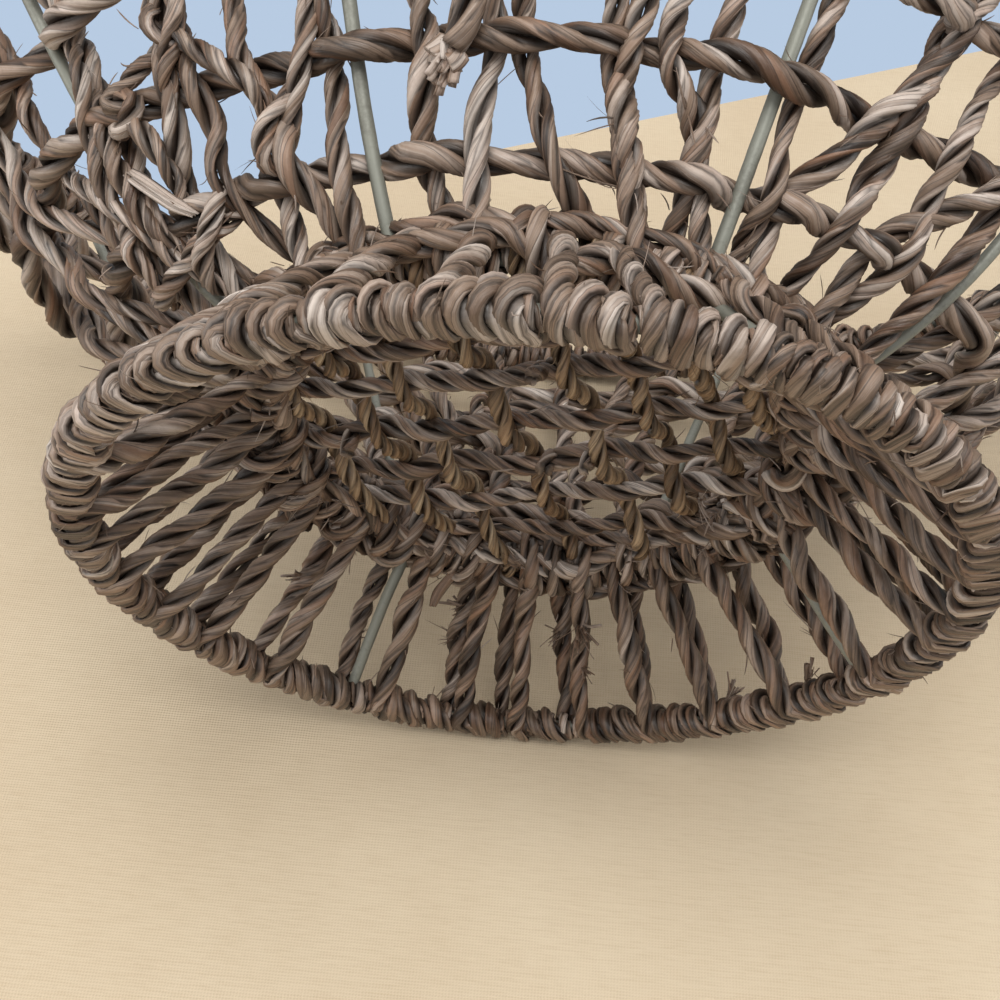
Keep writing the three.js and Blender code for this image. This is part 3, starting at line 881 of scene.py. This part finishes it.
GRASS_COLOURS = (srgb(24, 15, 9), srgb(146, 124, 106), srgb(233, 221, 210), srgb(156, 114, 86))
TAN_COLOURS = (srgb(40, 27, 16), srgb(160, 133, 103), srgb(218, 198, 168), srgb(160, 120, 84))
MATERIALS = {
    "grass_rope": grass_material("grass_rope", *GRASS_COLOURS),
    "tan_rope": grass_material("tan_rope", *TAN_COLOURS),
    "frame_wire": wire_material("painted_wire", srgb(140, 141, 130), srgb(100, 96, 88)),
}

rng = np.random.default_rng(4550)

# Frame wires.
for name, ring in (("foot", FOOT), ("waist", WAIST), ("rim", RIM)):
    surface = Surface()
    loop = np.array([polar(ring_radius(ring, a), a, ring[1]) for a in np.arange(0, 360, 2.0)])
    wire_tube(surface, loop, rng, closed=True)
    place_piece(surface, f"{name}_ring_wire", "frame_wire")

for quarter in QUARTERS:
    start = quarter_start(quarter)
    ends = (polar(FOOT[0], start, FOOT[1]), polar(WAIST[0], start, WAIST[1]))
    bowl_heights = WAIST[1] + RIM_RISE * np.linspace(0, 1, WIRE_POINTS) ** 1.5
    runs = {
        "skirt_strut": np.linspace(*ends, WIRE_POINTS),
        "bowl_upright": np.array([wall_place(z, start) for z in bowl_heights]),
        "bowl_rib": np.array([wall_place(z, start + RIB_AZIMUTH) for z in bowl_heights]),
    }
    for name, places in runs.items():
        surface = Surface()
        share = np.linspace(0, 1, len(places))[:, None]
        places = places + 0.5 * np.sin(math.pi * share) * drifting(rng, 60, 20, len(places), 3)
        wire_tube(surface, places, rng, flare=WELD_FLARE)
        place_piece(surface, f"{name}_{quarter}", "frame_wire")

# Lacing.
skirts = {}
bowls = {}
bindings = {}
for quarter in QUARTERS:
    skirt = skirts[quarter] = Surface()
    lacing, tail = skirt_lacing(quarter, rng)
    rope(skirt, ring_wrap(FOOT, quarter, *FOOT_UNDERWRAP), rng, columns=10, step=1.6, grounded=True)
    rope(skirt, lacing, rng, lay=3.9, grounded=True, fibre_gap=9)
    rope(skirt, tail, rng, lay=3.2, grounded=True)

    binding = bindings[quarter] = Surface()
    rope(binding, ring_wrap(WAIST, quarter, *WAIST_WRAP), rng, columns=12, step=1.6)
    for angle, reach in BORDERS:
        rope(binding, border(quarter, angle, reach, rng), rng, lay=4, wander=0.9, fibre_gap=6)
    for knot in range(KNOTS):
        azimuth = quarter_start(quarter) + 90 * (knot + rng.uniform(0.1, 0.9)) / KNOTS
        first = rng.uniform(-80, 200)
        reach = rng.uniform(*KNOT_REACHES)
        drift = rng.uniform(-KNOT_DRIFT, KNOT_DRIFT)
        loop = hook(WAIST, azimuth, first, first + KNOT_TURN, reach, KNOT_THICKNESS, drift)
        rope(binding, [loop], rng, lay=4, columns=12, fibre_gap=6)

    bowl = bowls[quarter] = Surface()
    rope(bowl, ring_wrap(RIM, quarter, *RIM_WRAP), rng, columns=10, step=1.8)
    for index in range(len(STAKES)):
        rope(bowl, stake(quarter, index, rng), rng, lay=rng.uniform(3.4, 4.8), fibre_gap=11)

rows = [Surface() for _ in ROW_HEIGHTS]
for row, surface in enumerate(rows):
    rope(surface, weaver_row(row, rng), rng, fibre_gap=10)

# Frayed ends on the legs: the quarter, pair, side and share of the leg's height, where the end points, and
# its number of strips, their length and their width.
LEG_ENDS = (
    (1, 6, 1, 0.44, (-0.9, -0.4, -0.1), 26, 5.5, 0.35),
    (1, 6, 1, 0.64, (-0.7, -0.4, -0.3), 10, 6, 0.8),
    (1, 4, 1, 0.55, (-0.4, -0.4, -0.6), 18, 7, 0.5),
    (1, 4, -1, 0.65, (0.1, -0.4, -0.9), 22, 10, 0.8),
    (1, 4, -1, 0.4, (0.3, -0.4, -0.6), 16, 6, 0.5),
    (1, 2, 1, 0.2, (-0.6, -0.5, 0.5), 12, 5.5, 0.9),
    (1, 0, 1, 0.25, (-0.6, -0.5, 0.5), 6, 9, 0.3),
    (2, 1, 1, 0.53, (-0.6, -0.5, -0.3), 10, 6, 0.9),
    (2, 0, 1, 0.3, (0.4, -0.6, 0.3), 8, 5, 0.5),
)
for quarter, index, side, share, aim, count, length, width in LEG_ENDS:
    place = leg_spot(quarter, index, side, share)
    tuft(skirts[quarter], place, aim, rng, count, length, 0.3, width, 0.5, torn=width > 0.35)
# The same on the foot ring: azimuth, where the end points, and its number of strips and their width.
FOOT_ENDS = ((52, (0.5, -0.5, 0.6), 24, 0.6), (37, (0.2, -0.6, 0.8), 8, 1.2))
for azimuth, aim, count, width in FOOT_ENDS:
    place = polar(FOOT[0] - 4.0, azimuth, FOOT[1] + 4.0)
    tuft(skirts[1], place, aim, rng, count, 5, 0.3, width, 0.5, torn=True)

# A strip of leaf hangs bent from the waist, and a cut end of rope lies beside it.
strip = [on_skirt(105, 38, 5), on_skirt(106.5, 33.5, 5), on_skirt(108.3, 29, 4.5), on_skirt(108.8, 25.5, 5)]
strip = smooth_path([station(place, 1) for place in strip], 0.8)[:, :3]
for shift in (0, 0.7, 1.4):
    strand(skirts[1], strip + [shift, 0, 0], 2.4, rng, 0.25, 0.45, 0.5)
stub = [on_skirt(112, 38, 3), on_skirt(109, 38.5, 6), on_skirt(105, 39, 7)]
rope(bindings[1], [station(place, 3.4) for place in stub], rng, lay=5)
tuft(bindings[1], stub[-1], (1, -0.3, 0.1), rng, 7, 4, 0.3, 0.7)
# Frayed ends inside the waist: azimuth, radius and where the end points.
WAIST_ENDS = ((25, 47, (0.3, -0.3, -1)), (31, 55, (-0.2, -0.4, -1)), (36, 60, (0.2, -0.2, -1)))
for azimuth, radius, aim in WAIST_ENDS:
    tuft(bindings[1], polar(radius, azimuth, WAIST[1] - 2.5), aim, rng, 9, 6.5, 0.4, 0.6)
for azimuth in rng.uniform(27, 207, 12):
    aim = polar(-0.6, azimuth, -0.8) + rng.normal(size=3) * 0.4
    tuft(bindings[1 if azimuth < 117 else 2], polar(61.5, azimuth, WAIST[1] - 4), aim, rng, 5, 5, 0.4, 0.6)

# The torn end of a rope hangs from the third row over the second.
TORN = ((96, -100.5, 4.5), (88, -101.2, 7), (82, -101.8, 8), (77.5, -102.6, 8.5), (74, -104, 8.3))
torn = [wall_place(*place) for place in TORN]
rope(rows[1], [station(place, 7.4) for place in torn], rng, lay=5)
tuft(rows[1], torn[-1], torn[-1] - torn[-2], rng, 30, 7, 0.1, 3.4, 0.85, torn=True)
tuft(rows[1], torn[-1], torn[-1] - torn[-2], rng, 14, 8, 0.2, 1.2, 0.95, torn=True)

# Twigs and fibres on the near wall's stakes: the stake, the height, where they point, number and length.
TWIGS = (
    (11, 73, (-1, -0.2, 0.1), 4, 8),
    (10, 64, (-1, -0.2, 0.2), 4, 9),
    (9, 54, (-1, -0.1, 0.05), 3, 15),
    (11, 68, (0.1, -0.4, -1), 3, 8),
    (12, 66, (0.3, -0.4, -1), 3, 8),
    (3, 62, (-1, -0.2, 0.1), 4, 7),
)
for index, height, aim, count, length in TWIGS:
    place = wall_place(height, stake_azimuth(3, index, height), 3.0)
    tuft(bowls[3], place, aim, rng, count, length, 0.25, 0.35, 0.4)

# Ropes laid over the stakes near one end of the bowl: azimuth and height of each point.
# Their ends are tucked into the nearest stakes.
CROSSED_ROPES = (
    ((-135, 94), (-135, 88), (-137, 83), (-139, 79), (-140, 72)),
    ((-141, 94), (-139, 87), (-135, 81), (-130, 73), (-129, 65)),
    ((-146, 76), (-145, 72), (-144, 64), (-143, 52)),
    ((-143, 85), (-147, 78), (-144, 76), (-147, 73), (-148, 76)),
    ((-123, 72), (-129, 66), (-131, 60), (-127, 58)),
    ((-139, 54), (-147, 52), (-157, 50), (-163, 49)),
    ((-154, 66), (-155, 58), (-156, 54), (-155, 49)),
    ((-150, 84), (-150, 72), (-150.5, 60), (-150, 46)),
    ((-159, 76), (-156, 68), (-152.5, 60), (-150, 52), (-149, 46)),
    ((-146, 92), (-149, 84), (-152, 74), (-154, 62), (-157, 50)),
    ((-136, 60), (-141, 55), (-147, 49), (-151, 45)),
)
for route in CROSSED_ROPES:
    ends = [station(wall_place(height, nearest_stake(azimuth, height), 0.8), 3.6)
            for azimuth, height in (route[0], route[-1])]
    middle = [station(wall_place(height, azimuth, 5.6), 4.9) for azimuth, height in route[1:-1]]
    surface = bowls[3 if route[-1][0] > -153 else 2]
    rope(surface, [ends[0], *middle, ends[1]], rng, lay=3.6, wander=0.6, fibre_gap=8)
LEAF = ((66.5, -149), (63, -147.3), (59, -145.2), (56, -143))
for shift in (-0.5, 0, 0.5):
    leaf = [station(wall_place(height, azimuth + shift, 6.2), 1) for height, azimuth in LEAF]
    strand(bowls[3], smooth_path(leaf, 1.0)[:, :3], 2.4, rng, 0.2, rng.uniform(0.6, 0.9), 0.3)

for quarter in QUARTERS:
    for kind, pieces in (("skirt_lacing", skirts), ("waist_binding", bindings), ("bowl_lacing", bowls)):
        place_piece(pieces[quarter], f"{kind}_{quarter}", "grass_rope")
for row, surface in enumerate(rows, 1):
    place_piece(surface, f"weaver_row_{row}", "grass_rope")

# Floor: each kind's number, lay and slot.
FLOOR_ROPES = {"warp": (len(WARPS), 3.3, "tan_rope"), "weft": (len(WEFTS), 3.5, "grass_rope")}
# Some wefts carry the cut ends of other ropes: radius and azimuth of each end, for each weft.
CUT_ENDS = {("weft", 2): ((33, -93),), ("weft", 3): ((45, 171),), ("weft", 4): ((7.6, 67), (14, 21))}
for kind, (count, lay, slot) in FLOOR_ROPES.items():
    for index in range(count):
        surface = Surface()
        rope(surface, floor_rope(index, kind == "warp", rng), rng, lay=lay, fibre_gap=8)
        for radius, azimuth in CUT_ENDS.get((kind, index), ()):
            rope(surface, cut_end(index, radius, azimuth), rng, lay=4)
        place_piece(surface, f"floor_{kind}_{index + 1}", slot)

# The basket lies on its side on a cloth, whose plane touches the far side of the foot and of the rim.
CLOTH_GAP = 6.2
far_foot = np.array([0.0, FOOT[0] + CLOTH_GAP, FOOT[1]])
far_rim = np.array([0.0, RIM_SIDE_RADIUS + CLOTH_GAP, RIM_HEIGHT])
cloth_up = (far_rim - far_foot) / np.linalg.norm(far_rim - far_foot)
cloth_side = np.array([1.0, 0.0, 0.0])
cloth_normal = np.cross(cloth_side, cloth_up)
# Corners of the cloth: across the basket, and along its axis. The far edge runs aslant.
CLOTH_CORNERS = ((-430, -420), (492, -420), (492, 544), (-430, 79))
mesh = bpy.data.meshes.new("cloth")
mesh.from_pydata([(a * MM, b * MM, 0.0) for a, b in CLOTH_CORNERS], [], [(0, 1, 2, 3)])
mesh.materials.append(cloth_material("cream_cloth", srgb(217, 200, 173), srgb(207, 188, 160)))
cloth = new_object("cloth", mesh)
cloth.matrix_world = pose(cloth_side, cloth_up, cloth_normal, far_foot)

CAMERA_PLACE = np.array([-0.6, -295.7, -136.55])
CAMERA_RIGHT = np.array([0.9959, -0.0265, 0.0867])
CAMERA_FORWARD = np.array([-0.0178, 0.8808, 0.4731])
CAMERA_LENS = 52.2

forward = CAMERA_FORWARD / np.linalg.norm(CAMERA_FORWARD)
right = CAMERA_RIGHT - forward * np.dot(CAMERA_RIGHT, forward)
right /= np.linalg.norm(right)
above = np.cross(right, forward)
camera = new_object("camera", bpy.data.cameras.new("camera"))
camera.matrix_world = pose(right, above, -forward, CAMERA_PLACE)
camera.data.lens = CAMERA_LENS
camera.data.sensor_width = 36
camera.data.clip_start = 0.01
bpy.context.scene.camera = camera

LAMP_COLOUR = (1.0, 0.99, 0.975)
LAMP_AIM = 0.06
WORLD_LIGHT = (0.95, 0.97, 1.0, 1.0)
WORLD_STRENGTH = 0.32


def lamp(name, direction, distance, size, energy):
    """A square lamp that points at the basket's middle. Its size and distance are in metres."""
    data = bpy.data.lights.new(name, "AREA")
    data.size = size
    data.energy = energy
    data.color = LAMP_COLOUR
    made = new_object(name, data)
    towards = Vector(direction).normalized()
    made.location = Vector((0, 0, LAMP_AIM)) + towards * distance
    made.rotation_euler = towards.to_track_quat("Z", "Y").to_euler()


lamp("key", cloth_normal - 0.22 * above, 1.3, 0.9, 13)
lamp("fill", -forward - 0.5 * right - 0.2 * above, 1.3, 1.0, 3.2)
lamp("mouth", UP + 0.8 * cloth_normal - 0.2 * right, 1.0, 0.7, 2.2)
lamp("left", 0.45 * cloth_normal - right, 1.2, 0.8, 5)
lamp("right", 0.45 * cloth_normal + right, 1.2, 0.8, 4)

# The world lights the basket evenly, and the camera sees a plain sky.
bpy.context.scene.world = bpy.data.worlds.new("studio")
sky = Nodes(bpy.context.scene.world, "Background", "World Output")
sky.put(WORLD_LIGHT, sky.shader.inputs["Color"])
sky.put(WORLD_STRENGTH, sky.shader.inputs["Strength"])
rays = sky.add("LightPath").outputs
seen = sky.math("MAXIMUM", rays["Is Camera Ray"], rays["Is Transmission Ray"])
sky.show(seen, sky.shader, sky.add("Background", {"Color": srgb(184, 203, 226)}))
bpy.context.scene.view_settings.view_transform = "Standard"
